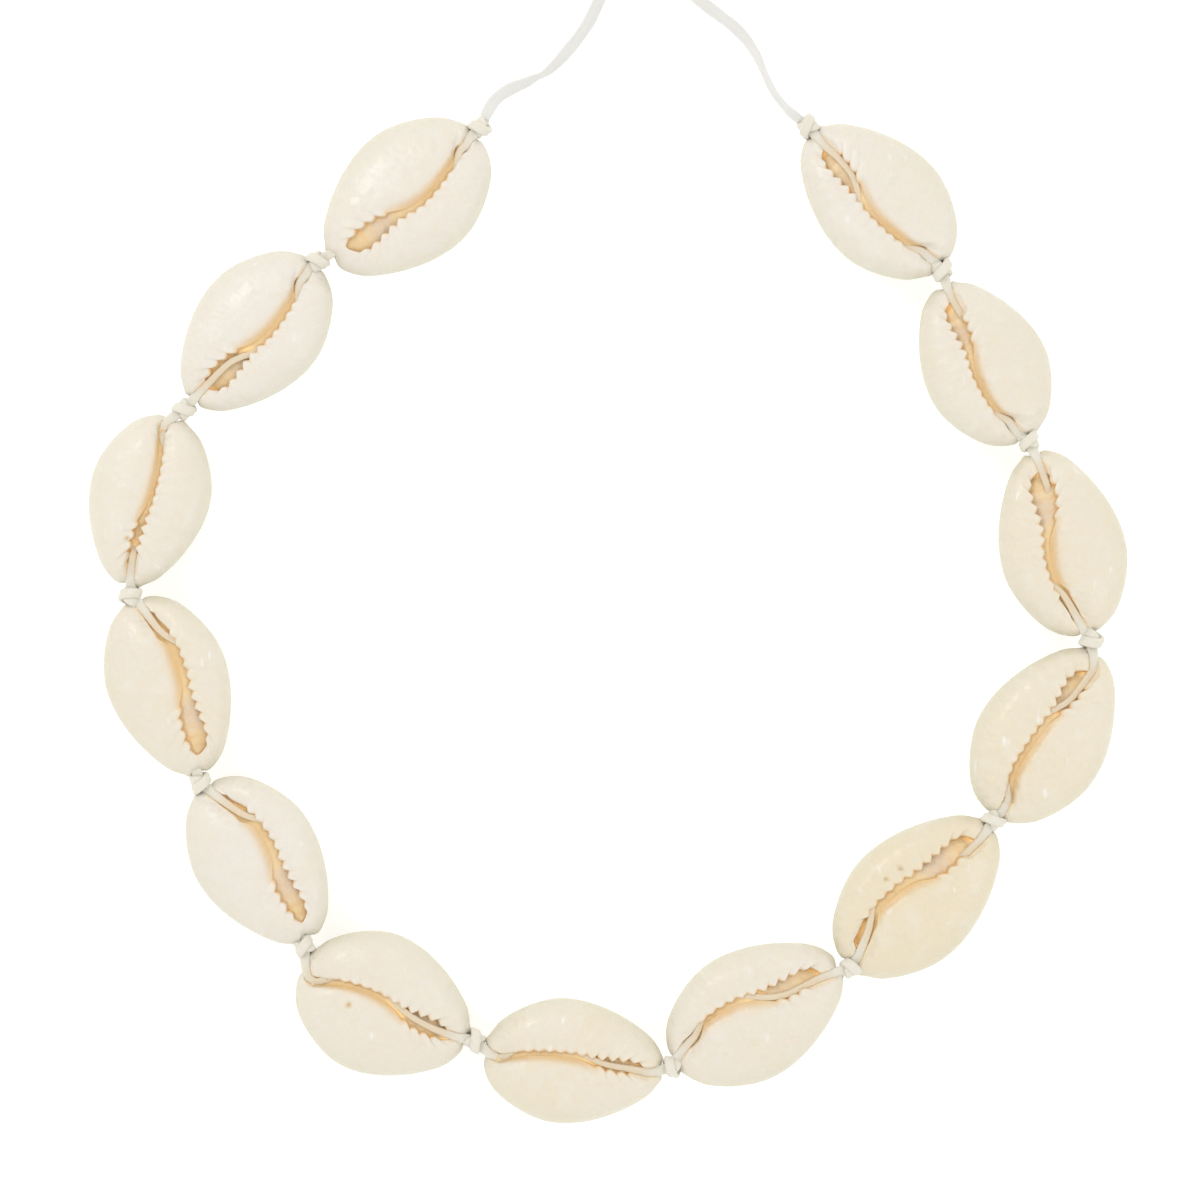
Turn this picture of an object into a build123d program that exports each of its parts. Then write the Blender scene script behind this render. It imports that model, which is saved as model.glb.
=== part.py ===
from build123d import *
from collections import namedtuple
import math
import os

# Cowrie shell choker lying open on a flat surface, its shells with their slits up.
# +Z is up from the surface, +X points right and +Y points towards the two tails of the tie.
# The origin lies on the surface, under the middle of the ring of shells.

# The average shell, in millimetres
SHELL_LENGTH = 20.8
SHELL_WIDTH = 14.5
DORSAL_DEPTH = 7.7  # from the line of the margin down to the domed back
BASE_RISE = 2.8  # from the line of the margin up to the crest of each lip
VALLEY_DEPTH = 0.9  # how far the two lips sink towards the slit
VALLEY_WIDTH = 2.2
BACK_WALL = 1.2
MARGIN_WALL = 1.8
LIP_THICKNESS = 1.3
END_WALL = 1.2

# The slit and the open canals at its ends
SLIT_GAP = 1.4
TOOTH_DEPTH = 0.4
OUTER_TEETH = 11
INNER_TEETH = 4
CANAL_REACH = 3.5  # how far a canal runs in from the end of a shell

# Cord and knots
CORD_DIAMETER = 1.2
CORD_CLEARANCE = 0.15
CORD_RISE = 0.2  # height of the cord's middle above the line of the margin
KNOT_DIAMETER = 2.6
KNOT_CLEARANCE = 0.12
KNOT_SEAT_CORNER = 1.0
KNOT_EDGE = 0.35
KNOT_BEND_RADIUS = 1.8  # bend of the cord inside a knot
TURN_SLANT = 25  # degrees that each turn of a knot leans
STUB_LENGTH = 2.3  # cord between the middle of an end knot and the start of its tail
STUB_DIP = 12  # degrees that it points down

# Closure beyond the two tails
CLOSURE_DIAMETER = 4.0
CLOSURE_LENGTH = 4.4
CLOSURE_EDGE = 0.5
CLOSURE_MOUTH = (4.0, 83.3)  # middle of the face that the tails go into
TAIL_SPACING = 1.5
TAIL_ENTRY_HEIGHT = 1.3

# Where the first knot lies
FIRST_KNOT = (-14.45, 54.9)

# Sections across a shell, from its narrow front end to its broad back end, as shares
# of the half length, the half width, the dorsal depth and the base rise
Section = namedtuple("Section", "along width depth rise")
SECTIONS = [
    Section(-0.985, 0.24, 0.18, 0.34),
    Section(-0.88, 0.42, 0.38, 0.60),
    Section(-0.65, 0.65, 0.62, 0.82),
    Section(-0.36, 0.86, 0.84, 0.95),
    Section(0.00, 0.99, 0.975, 1.00),
    Section(0.32, 0.97, 0.985, 1.00),
    Section(0.62, 0.79, 0.83, 0.86),
    Section(0.87, 0.52, 0.54, 0.62),
    Section(0.985, 0.29, 0.27, 0.36),
]

# Width of the slit along a shell, as a share of the slit gap
Gap = namedtuple("Gap", "along gap")
GAPS = [
    Gap(-0.82, 0.30),
    Gap(-0.76, 0.90),
    Gap(-0.63, 1.72),
    Gap(-0.42, 1.60),
    Gap(-0.20, 1.32),
    Gap(0.00, 1.05),
    Gap(0.20, 0.92),
    Gap(0.40, 0.80),
    Gap(0.62, 0.62),
    Gap(0.88, 0.45),
]
OUTER_TEETH_SPAN = (-0.68, 0.50)  # toothed stretch of the outer lip, in shares of the half length
INNER_TEETH_SPAN = (-0.66, -0.24)
BEND_STATIONS = (0.85, 0.20, -0.65)  # where a shell's back, middle and front offsets apply

# The shells in order from the left tail, each threaded from its broad back end to its front end.
# heading: degrees of the cord from knot to knot. nest: the knots' share of that step.
# length, width: shares of the average shell. lead, side, twist: the shell's place on its stretch of cord,
# in shares of the half length and half width and in degrees. back, middle, front: the slit's offsets,
# and canal_back, canal_front: the canals' offsets, in shares of the half width.
Shell = namedtuple(
    "Shell",
    "heading nest length width lead side twist back middle front canal_back canal_front",
)
SHELLS = [
    Shell(219.5, 0.90, 1.03, 1.06, -0.03, 0.11, 1.5, -0.10, 0.17, 0.10, -0.06, -0.09),
    Shell(228.0, 0.66, 0.99, 1.00, -0.05, 0.01, 0.5, -0.06, 0.17, 0.12, 0.04, 0.00),
    Shell(254.0, 0.88, 0.94, 0.94, 0.01, -0.16, 1.5, -0.02, 0.12, 0.02, 0.14, 0.10),
    Shell(290.5, 0.64, 1.00, 0.95, -0.02, 0.08, -0.5, 0.10, 0.25, 0.12, -0.02, -0.05),
    Shell(302.5, 0.36, 1.00, 0.98, 0.01, 0.12, 1.5, 0.08, 0.27, 0.11, -0.03, -0.07),
    Shell(331.0, 0.66, 0.97, 1.11, 0.01, -0.20, 5.5, -0.09, 0.15, 0.06, 0.02, 0.06),
    Shell(352.5, 0.86, 0.97, 0.97, 0.01, -0.13, 3.5, 0.00, 0.17, 0.03, 0.06, 0.03),
    Shell(29.0, 0.60, 1.03, 1.02, -0.03, 0.11, 1.5, 0.10, 0.26, 0.08, 0.05, -0.05),
    Shell(46.0, 0.32, 1.07, 1.01, -0.04, 0.03, -2.5, 0.08, 0.28, 0.09, -0.05, 0.00),
    Shell(61.5, 0.62, 1.03, 1.02, -0.03, -0.07, -3.5, 0.00, 0.18, 0.06, 0.05, -0.02),
    Shell(107.5, 0.86, 1.02, 0.98, -0.03, 0.00, -2.0, 0.10, 0.24, 0.08, 0.02, 0.01),
    Shell(117.0, 0.80, 0.94, 0.97, -0.07, 0.09, 1.5, -0.02, 0.16, 0.01, 0.03, -0.12),
    Shell(133.0, 0.46, 1.00, 0.98, -0.03, -0.01, 2.5, 0.01, 0.18, 0.04, 0.04, -0.05),
]

# The tails between their first run out of a knot and their last run into the closure
LEFT_HEADING = 39
LEFT_POINTS = [
    (-7.3, 60.8, 4.7),
    (-4.6, 63.2, 2.3),
    (-2.2, 65.9, 0.85),
    (-0.7, 69.3, 0.62),
    (0.3, 72.8, 0.62),
    (1.7, 76.2, 0.8),
]
RIGHT_HEADING = 129
RIGHT_POINTS = [
    (17.3, 61.8, 4.8),
    (15.5, 64.6, 2.3),
    (13.2, 67.1, 0.85),
    (10.6, 69.5, 0.62),
    (8.3, 72.5, 0.62),
    (6.2, 76.3, 0.8),
]
TAIL_RUN = 3.3  # length of the first and last run of a tail

CORD_HEIGHT = DORSAL_DEPTH + CORD_RISE
CANAL_WIDTH = CORD_DIAMETER + 2 * CORD_CLEARANCE
CANAL_FLOOR = CORD_HEIGHT - CANAL_WIDTH / 2
KNOT_REACH = (
    KNOT_DIAMETER * math.sin(math.radians(TURN_SLANT))
    + CORD_DIAMETER * math.cos(math.radians(TURN_SLANT))
) / 2
SHELL_TOP = DORSAL_DEPTH + BASE_RISE


def between(low, high, share):
    return low + (high - low) * share


def gap_at(along):
    """Width of the slit at a share of the half length, between the rows of its table."""
    for low, high in zip(GAPS, GAPS[1:]):
        if along <= high.along:
            share = max(0, (along - low.along) / (high.along - low.along))
            return SLIT_GAP * between(low.gap, high.gap, share)
    return SLIT_GAP * GAPS[-1].gap


def slit_middle(shell, along, half_width):
    """Sideways place of the slit's middle, on a smooth curve through the shell's three offsets."""
    total = 0
    offsets = (shell.back, shell.middle, shell.front)
    for i, (station, offset) in enumerate(zip(BEND_STATIONS, offsets)):
        weight = 1
        for j, other in enumerate(BEND_STATIONS):
            if j != i:
                weight *= (along - other) / (station - other)
        total += offset * weight
    return total * half_width


def ring_of_arcs(along, half_width, depth, rise, valley_at, valley):
    """Closed section across a shell: a flat-topped base with a valley over a round back."""

    def point(angle):
        x = half_width * math.cos(angle)
        height = abs(math.sin(angle))
        if angle > math.pi:
            return (x, along, DORSAL_DEPTH - depth * height)
        sunk = valley * math.exp(-(((x - valley_at) / VALLEY_WIDTH) ** 2))
        return (x, along, DORSAL_DEPTH + rise * height**0.75 - sunk * height)

    lowest = math.acos(valley_at / half_width)
    stops = [between(0, lowest, share) for share in (0, 0.42, 0.75, 1)]
    stops += [between(lowest, math.pi, share) for share in (0.25, 0.58, 1)]
    stops += [between(math.pi, 2 * math.pi, share / 4) for share in (1, 2, 3, 4)]
    edges = []
    for start, end in zip(stops, stops[1:]):
        edges.append(
            ThreePointArc(point(start), point((start + end) / 2), point(end))
        )
    return Wire(edges)


def skin(shell, half_length, half_width):
    rings = []
    for row in SECTIONS:
        width = row.width * half_width
        valley_at = min(slit_middle(shell, row.along, half_width), 0.5 * width)
        rings.append(
            ring_of_arcs(
                row.along * half_length,
                width,
                row.depth * DORSAL_DEPTH,
                row.rise * BASE_RISE,
                max(valley_at, -0.5 * width),
                row.rise * VALLEY_DEPTH,
            )
        )
    return Solid.make_loft(rings)


def cavity(half_length, half_width):
    """The hollow inside a shell, a wall's thickness inside its skin."""
    rings = []
    inner = [row for row in SECTIONS if abs(row.along) * half_length < half_length - END_WALL]
    for row in inner:
        rings.append(
            ring_of_arcs(
                row.along * half_length,
                row.width * half_width - MARGIN_WALL,
                row.depth * DORSAL_DEPTH - BACK_WALL,
                row.rise * BASE_RISE - LIP_THICKNESS,
                0,
                0,
            )
        )
    return Solid.make_loft(rings)


def slit(shell, half_length, half_width):
    """The S-shaped slit, toothed along the outer lip and at the front of the inner lip."""

    def lip(along, side, bite):
        x = slit_middle(shell, along, half_width)
        return (x + side * (gap_at(along) / 2 - bite), along * half_length, CANAL_FLOOR)

    def teeth(span, count, side):
        points = []
        for i in range(count):
            points.append(lip(between(*span, i / count), side, 0))
            points.append(lip(between(*span, (i + 0.5) / count), side, TOOTH_DEPTH))
        return points + [lip(span[1], side, 0)]

    front, back = GAPS[0].along, GAPS[-1].along
    outer = [lip(front, 1, 0), *teeth(OUTER_TEETH_SPAN, OUTER_TEETH, 1)]
    outer += [lip(along, 1, 0) for along in (0.70, back)]
    inner = [lip(front, -1, 0), *teeth(INNER_TEETH_SPAN, INNER_TEETH, -1)]
    inner += [lip(along, -1, 0) for along in (0.00, 0.20, 0.45, 0.70, back)]
    outline = Polyline(*outer, *reversed(inner), close=True)
    return extrude(make_face(outline), SHELL_TOP - CANAL_FLOOR + 1, (0, 0, 1))


def canal(start, end):
    """Open channel for the cord, from a knot to where the cord goes under the lips."""
    run = Vector(*end) - Vector(*start)
    length = run.length + CANAL_WIDTH / 2
    middle = Vector(*start) + run.normalized() * (length / 2)
    depth = SHELL_TOP - CANAL_FLOOR + 1
    turn = math.degrees(math.atan2(run.Y, run.X))
    place = Location((middle.X, middle.Y, CANAL_FLOOR + depth / 2), (0, 0, turn))
    return place * Box(length, CANAL_WIDTH, depth)


def knot_seat(x, y, turned):
    """Rounded notch that a knot nests in, at the end of a shell."""
    seat = RectangleRounded(
        2 * (KNOT_REACH + KNOT_CLEARANCE), KNOT_DIAMETER + 2 * KNOT_CLEARANCE, KNOT_SEAT_CORNER
    )
    floor = CORD_HEIGHT - KNOT_DIAMETER / 2 - KNOT_CLEARANCE
    return Location((x, y, floor), (0, 0, turned)) * extrude(seat, SHELL_TOP - floor + 1)


def unit(degrees, dip=0):
    flat = math.cos(math.radians(dip))
    return Vector(
        flat * math.cos(math.radians(degrees)),
        flat * math.sin(math.radians(degrees)),
        -math.sin(math.radians(dip)),
    )


def laid_out():
    """The knots' places, and each shell's place, its two canal points and its two knots."""
    knots = [Vector(*FIRST_KNOT, CORD_HEIGHT)]
    placed = []
    for shell in SHELLS:
        half_length = shell.length * SHELL_LENGTH / 2
        half_width = shell.width * SHELL_WIDTH / 2
        ahead = unit(shell.heading)
        outward = Vector(-ahead.Y, ahead.X)
        step = 2 * half_length + shell.nest * KNOT_DIAMETER
        middle = knots[-1] + ahead * (step / 2 + shell.lead * half_length)
        middle += outward * (shell.side * half_width)
        knots.append(knots[-1] + ahead * step)
        place = Location((middle.X, middle.Y, 0), (0, 0, shell.heading + shell.twist + 90))
        reach = half_length - CANAL_REACH
        canals = [(shell.canal_back * half_width, reach), (shell.canal_front * half_width, -reach)]
        placed.append((shell, place, half_length, half_width, canals, knots[-2:]))
    return knots, placed


def cowrie(shell, place, half_length, half_width, canals, knots):
    tools = [cavity(half_length, half_width), slit(shell, half_length, half_width)]
    for knot, canal_point in zip(knots, canals):
        near = place.inverse() * Location(knot)
        spot = (near.position.X, near.position.Y)
        tools.append(knot_seat(*spot, 90 - shell.twist))
        tools.append(canal((*spot, 0), (*canal_point, 0)))
    return place * (skin(shell, half_length, half_width) - tools)


def overhand_knot():
    """One knot about its own middle, as two thick turns of cord that cross."""
    turn = Cylinder(KNOT_DIAMETER / 2, CORD_DIAMETER)
    turn = fillet(turn.edges().filter_by(GeomType.CIRCLE), KNOT_EDGE)
    return Rotation(0, 90 + TURN_SLANT, 0) * turn + Rotation(0, 90 - TURN_SLANT, 0) * turn


def corner_radius(a, b, c):
    """The largest arc that takes 0.45 of the shorter run beside a corner."""
    shorter = min((b - a).length, (c - b).length)
    return 0.45 * shorter / math.tan(math.radians((b - a).get_angle(c - b)) / 2)


def swept_cord(route, radii):
    """A round tube on straight runs joined by tangent arcs."""
    path = FilletPolyline(*route, radius=radii)
    section = Plane(origin=route[0], z_dir=route[1] - route[0]) * Circle(CORD_DIAMETER / 2)
    tube = sweep(section, path)
    expected = math.pi * CORD_DIAMETER**2 / 4 * path.length
    print("cord of", round(path.length, 2), "mm, radii", [round(radius, 1) for radius in radii])
    print("volume", round(tube.volume, 3), "where section times length is", round(expected, 3))
    return tube


def stub_end(at, heading):
    return at + unit(heading, STUB_DIP) * STUB_LENGTH


def knotted_cord(knots, placed):
    """The cord through all the shells, with its knots and the stubs that the tails go on from."""
    route = [stub_end(knots[0], LEFT_HEADING), knots[0]]
    for _, place, _, _, canals, ends in placed:
        route += [(place * Location((x, y, CORD_HEIGHT))).position for x, y in canals]
        route.append(ends[1])
    route.append(stub_end(knots[-1], RIGHT_HEADING))
    radii = []
    for a, b, c in zip(route, route[1:], route[2:]):
        radii.append(KNOT_BEND_RADIUS if b in knots else corner_radius(a, b, c))
    cord = swept_cord(route, radii)
    lump = overhand_knot()
    headings = [SHELLS[0].heading] + [shell.heading for shell in SHELLS]
    lumps = [Location(at, (0, 0, turned)) * lump for at, turned in zip(knots, headings)]
    return cord + lumps


def tail(at, heading, points, side):
    """A tail from its stub to the closure."""
    start = stub_end(at, heading)
    mouth = Vector(CLOSURE_MOUTH[0] + side * TAIL_SPACING / 2, CLOSURE_MOUTH[1], TAIL_ENTRY_HEIGHT)
    route = [start, start + unit(heading, STUB_DIP) * TAIL_RUN]
    route += [Vector(*point) for point in points]
    route += [mouth - Vector(0, TAIL_RUN, 0), mouth]
    print("route", [tuple(round(v, 2) for v in point) for point in route])
    radii = [corner_radius(a, b, c) for a, b, c in zip(route, route[1:], route[2:])]
    return swept_cord(route, radii)


def closure_knot():
    """Plain barrel that both tails go into."""
    barrel = Cylinder(CLOSURE_DIAMETER / 2, CLOSURE_LENGTH)
    barrel = fillet(barrel.edges().filter_by(GeomType.CIRCLE), CLOSURE_EDGE)
    middle = (CLOSURE_MOUTH[0], CLOSURE_MOUTH[1] + CLOSURE_LENGTH / 2, CLOSURE_DIAMETER / 2)
    return Location(middle, (90, 0, 0)) * barrel


def main():
    os.makedirs("parts", exist_ok=True)
    knots, placed = laid_out()
    for number, row in enumerate(placed, 1):
        export_step(cowrie(*row), f"parts/shell_{number:02d}.step")
    export_step(knotted_cord(knots, placed), "parts/knotted_cord.step")
    export_step(tail(knots[0], LEFT_HEADING, LEFT_POINTS, -1), "parts/tail_left.step")
    export_step(tail(knots[-1], RIGHT_HEADING, RIGHT_POINTS, 1), "parts/tail_right.step")
    export_step(closure_knot(), "parts/closure_knot.step")


main()
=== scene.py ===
# %% [markdown]
# # A cowrie shell choker, laid out open
#
# Thirteen small cowries lie on their backs in a ring, slit side up. A flat off-white cord runs through
# all of them, enters each shell at its broad back end, leaves it at its narrow front end, and is knotted
# between every two. The two tails run up, out of the picture, and end in one wound knot.
#
# The pieces already exist as exact solids in the frame. This file gives each of them its looks: shells
# with rolled lips and teeth, a cord with a weave, real knots, and a soft studio around them.

# %% Load the frame
import math

import bpy
import numpy as np
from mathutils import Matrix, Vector


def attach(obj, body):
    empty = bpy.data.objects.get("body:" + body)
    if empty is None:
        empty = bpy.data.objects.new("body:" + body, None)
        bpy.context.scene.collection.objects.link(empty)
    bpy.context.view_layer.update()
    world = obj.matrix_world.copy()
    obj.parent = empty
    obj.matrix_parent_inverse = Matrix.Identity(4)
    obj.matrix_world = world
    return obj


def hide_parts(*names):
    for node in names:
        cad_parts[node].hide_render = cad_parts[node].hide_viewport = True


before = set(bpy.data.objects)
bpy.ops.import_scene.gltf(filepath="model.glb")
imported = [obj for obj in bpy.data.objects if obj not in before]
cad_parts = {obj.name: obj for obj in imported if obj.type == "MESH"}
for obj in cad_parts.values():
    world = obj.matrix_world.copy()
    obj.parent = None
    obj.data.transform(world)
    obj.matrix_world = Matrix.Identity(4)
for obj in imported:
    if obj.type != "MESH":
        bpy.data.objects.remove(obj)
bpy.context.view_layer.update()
MM = 0.001

# %% [markdown]
# ## The camera
#
# The choker was photographed from straight above. An orthographic camera would do for this one view, but
# the other views need perspective, so a long lens is used from far away: it gives the same flat look.
# The photograph is square, and one of its pixels covers a known length at the height of the shells'
# margins, so the camera hangs over its middle pixel at the distance that makes the frame as wide.

# %% Camera over the middle of the photograph
PHOTO_SIDE = 1200
PIXEL = 0.1125  # millimetres at the height of the shells' margins
ORIGIN_PIXEL = (608.5, 615.7)  # over the middle of the ring of shells
MARGIN_HEIGHT = 7.7
LENS = 110
SENSOR = 36

camera_data = bpy.data.cameras.new("camera")
camera_data.lens = LENS
camera_data.sensor_width = SENSOR
camera = bpy.data.objects.new("camera", camera_data)
bpy.context.scene.collection.objects.link(camera)
distance = PHOTO_SIDE * PIXEL * LENS / SENSOR
middle_x = (PHOTO_SIDE / 2 - ORIGIN_PIXEL[0]) * PIXEL
middle_y = (ORIGIN_PIXEL[1] - PHOTO_SIDE / 2) * PIXEL
camera.location = Vector((middle_x, middle_y, MARGIN_HEIGHT + distance)) * MM
bpy.context.scene.camera = camera
print("camera", round(distance), "mm above the shells")

# %% [markdown]
# ## Shader maths as Python
#
# Materials in Blender are graphs of nodes. Placing and wiring them by hand hides the sum that they work
# out, so one small class wraps an output and takes Python's operators: `1 - mask * 0.5` adds its Math
# nodes by itself.


# %% A value in a material
class Value:
    """An output of a node, ready for arithmetic."""

    def __init__(self, finish, socket):
        self.finish = finish
        self.socket = socket

    def maths(self, operation, *values):
        return self.finish.node("ShaderNodeMath", {"operation": operation}, dict(enumerate(values)))

    def __add__(self, other):
        return self.maths("ADD", self, other)

    def __radd__(self, other):
        return self.maths("ADD", other, self)

    def __sub__(self, other):
        return self.maths("SUBTRACT", self, other)

    def __rsub__(self, other):
        return self.maths("SUBTRACT", other, self)

    def __mul__(self, other):
        return self.maths("MULTIPLY", self, other)

    def __rmul__(self, other):
        return self.maths("MULTIPLY", other, self)

    def __pow__(self, other):
        return self.maths("POWER", self, other)

    def sine(self):
        return self.maths("SINE", self)

    def clamped(self):
        return self.finish.node("ShaderNodeClamp", {}, {0: self})


print("a value knows", ", ".join(name.strip("_") for name, known in vars(Value).items() if callable(known)))

# %% [markdown]
# Every other node comes from one method of the material, which also links it. Colours never go through a
# Math node, because it would turn them grey: they are mixed with a Mix node.


# %% A material that makes its own nodes
class Finish:
    """A material whose nodes are written as Python."""

    def __init__(self, name):
        self.material = bpy.data.materials.new(name)
        self.material.use_nodes = True
        self.tree = self.material.node_tree
        self.tree.nodes.clear()

    def node(self, kind, settings, sockets, output=0):
        """Makes a node: its settings come first, then the values or links of its sockets."""
        made = self.tree.nodes.new(kind)
        for name, setting in settings.items():
            setattr(made, name, setting)
        for name, value in sockets.items():
            if isinstance(value, Value):
                self.tree.links.new(value.socket, made.inputs[name])
            else:
                made.inputs[name].default_value = value
        return Value(self, made.outputs[output] if len(made.outputs) else None)

    def attribute(self, name):
        return self.node("ShaderNodeAttribute", {"attribute_name": name}, {}, 2)

    def noise(self, scale, detail=3, stretch=(1, 1, 1)):
        place = self.node("ShaderNodeTexCoord", {}, {}, 3)
        place = self.node("ShaderNodeVectorMath", {"operation": "MULTIPLY"}, {0: place, 1: stretch})
        return self.node("ShaderNodeTexNoise", {}, {"Vector": place, "Scale": scale, "Detail": detail})

    def mix(self, share, first, second):
        return self.node("ShaderNodeMix", {"data_type": "RGBA"}, {0: share, 6: first, 7: second}, 2)

    def scaled(self, colour, factor):
        return self.node("ShaderNodeVectorMath", {"operation": "SCALE"}, {0: colour, "Scale": factor})

    def bump(self, height, strength, distance):
        sockets = {"Height": height, "Strength": strength, "Distance": distance}
        return self.node("ShaderNodeBump", {}, sockets)

    def surface(self, **sockets):
        """Ends the graph in a Principled shader. An underscore in a name stands for a space."""
        named = {name.replace("_", " "): value for name, value in sockets.items()}
        shader = self.node("ShaderNodeBsdfPrincipled", {}, named)
        self.node("ShaderNodeOutputMaterial", {}, {"Surface": shader})
        return self.material


total = 1 - Finish("trial").attribute("mask") * 0.5
print("1 - mask * 0.5 takes", len(total.finish.tree.nodes), "nodes")
bpy.data.materials.remove(total.finish.material)

# %% Paint that shows as a colour of the picture
DAYLIGHT = 1.345  # light on an open surface of the studio, against that which shows white as white


def shade(red, green, blue, light=DAYLIGHT):
    """A paint for a surface that the picture shows in this colour, from 0 to 255, under this much light."""
    linear = [((v / 255 + 0.055) / 1.055) ** 2.4 / light for v in (red, green, blue)]
    return (*[min(v, 0.97) for v in linear], 1)


print("a mid grey of 128 is painted", round(shade(128, 128, 128)[0], 3), "in linear light")

# %% [markdown]
# ## The studio
#
# The picture is a bright catalogue shot: the ground is white and there is hardly any shadow. A white sky
# gives most of the light from everywhere at once, and one soft lamp up on the left adds just enough
# direction to model the domes of the shells and to put small glints on their glaze. The view transform is
# the plain one, because a filmic curve would turn the white ground grey.

# %% Floor, sky and soft lamps
FLOOR_SIZE = 4000
SKY = 1.175


def add_mesh(name, points, faces, material):
    """A smooth mesh from points in millimetres."""
    mesh = bpy.data.meshes.new(name)
    mesh.from_pydata([tuple(p) for p in np.asarray(points) * MM], [], faces)
    mesh.polygons.foreach_set("use_smooth", [True] * len(mesh.polygons))
    mesh.materials.append(material)
    made = bpy.data.objects.new(name, mesh)
    bpy.context.scene.collection.objects.link(made)
    return made


def floor_finish():
    finish = Finish("pale_floor")
    cloud = finish.noise(9)
    colour = finish.mix(cloud, (0.955, 0.955, 0.955, 1), (0.97, 0.97, 0.97, 1))
    return finish.surface(Base_Color=colour, Roughness=0.9, Emission_Color=colour, Emission_Strength=0.2)


def soft_lamp(name, place, size, power):
    """A square lamp that looks at the middle of the choker."""
    data = bpy.data.lights.new(name, "AREA")
    data.size = size * MM
    data.energy = power
    lamp = bpy.data.objects.new(name, data)
    lamp.location = Vector(place) * MM
    lamp.rotation_euler = (-Vector(place)).to_track_quat("-Z", "Y").to_euler()
    bpy.context.scene.collection.objects.link(lamp)


half = FLOOR_SIZE / 2
corners = [(-half, -half, 0), (half, -half, 0), (half, half, 0), (-half, half, 0)]
floor = add_mesh("floor", corners, [(0, 1, 2, 3)], floor_finish())
world = bpy.data.worlds.new("sky")
world.use_nodes = True
world.node_tree.nodes["Background"].inputs["Color"].default_value = (1, 1, 1, 1)
world.node_tree.nodes["Background"].inputs["Strength"].default_value = SKY
bpy.context.scene.world = world
soft_lamp("key_lamp", (-230, 260, 430), 110, 0.40)
soft_lamp("fill_lamp", (320, -120, 300), 240, 0.12)
bpy.context.scene.view_settings.view_transform = "Standard"
print("floor", FLOOR_SIZE, "mm wide, two lamps and a white sky")

# %% [markdown]
# ## The finish of a cowrie
#
# A money cowrie is porcelain: a warm cream glaze, a little greener towards the margin, that light enters
# for about a millimetre. Along the slit the inner lip is stained orange, and the same paint is laid as
# painted shade in thin lines beside the cord. Inside the shell is tan, golden at both ends, and the dips
# between the teeth are brown, partly their own colour and partly painted shade. These masks follow the
# form, so the mesh carries them as attributes, and the nodes only decide what colour each of them means.
# The thin lips let light through into the crevices beside the cord, so painted light makes the glaze
# warmer and lighter there. The clouds, the whitish patches, the short white streaks painted as glints
# and the fine wrinkles are procedural.

# %% Paints of a shell
WHITE_CREAM = shade(243, 236, 224)
WARM_CREAM = shade(241, 228, 199)
MILKY = shade(248, 244, 236)
MARGIN_CREAM = shade(224, 220, 192)
BACK_CREAM = shade(232, 218, 184)
BACK_BAND = shade(202, 202, 190)
# orange stain of the inner lip, also laid as painted shade in thin lines beside the cord
STAIN_AND_SHADE = shade(241, 202, 140)
# painted highlight: white streaks that stand for glints on the glaze
GLINT_WHITE = shade(254, 252, 248)
INSIDE_TAN = shade(214, 194, 167, 1)
INSIDE_GOLD = shade(225, 200, 153, 1)
MIDDLE_ORANGE = shade(215, 184, 134, 1)
CRACK_ORANGE = shade(240, 192, 124, 0.85)
# dips between the teeth: partly their own brown, partly painted shade
DIP_BROWN = shade(240, 192, 126, 1.2)
PIT_BROWN = shade(222, 186, 120)
print("white cream is painted", [round(v, 2) for v in WHITE_CREAM[:3]], "in linear light")


# %% Shell glaze
def inside_colour(finish, along, beside):
    """The tan and golden floor of the slit, with painted warm light where the cord fills it."""
    colour = finish.mix(((along + 0.15) * 3).clamped(), INSIDE_GOLD, MIDDLE_ORANGE)
    colour = finish.mix(finish.attribute("tan"), colour, INSIDE_TAN)
    colour = finish.mix(beside * 0.6, colour, CRACK_ORANGE)
    return finish.mix(finish.attribute("crack"), colour, CRACK_ORANGE)


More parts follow.
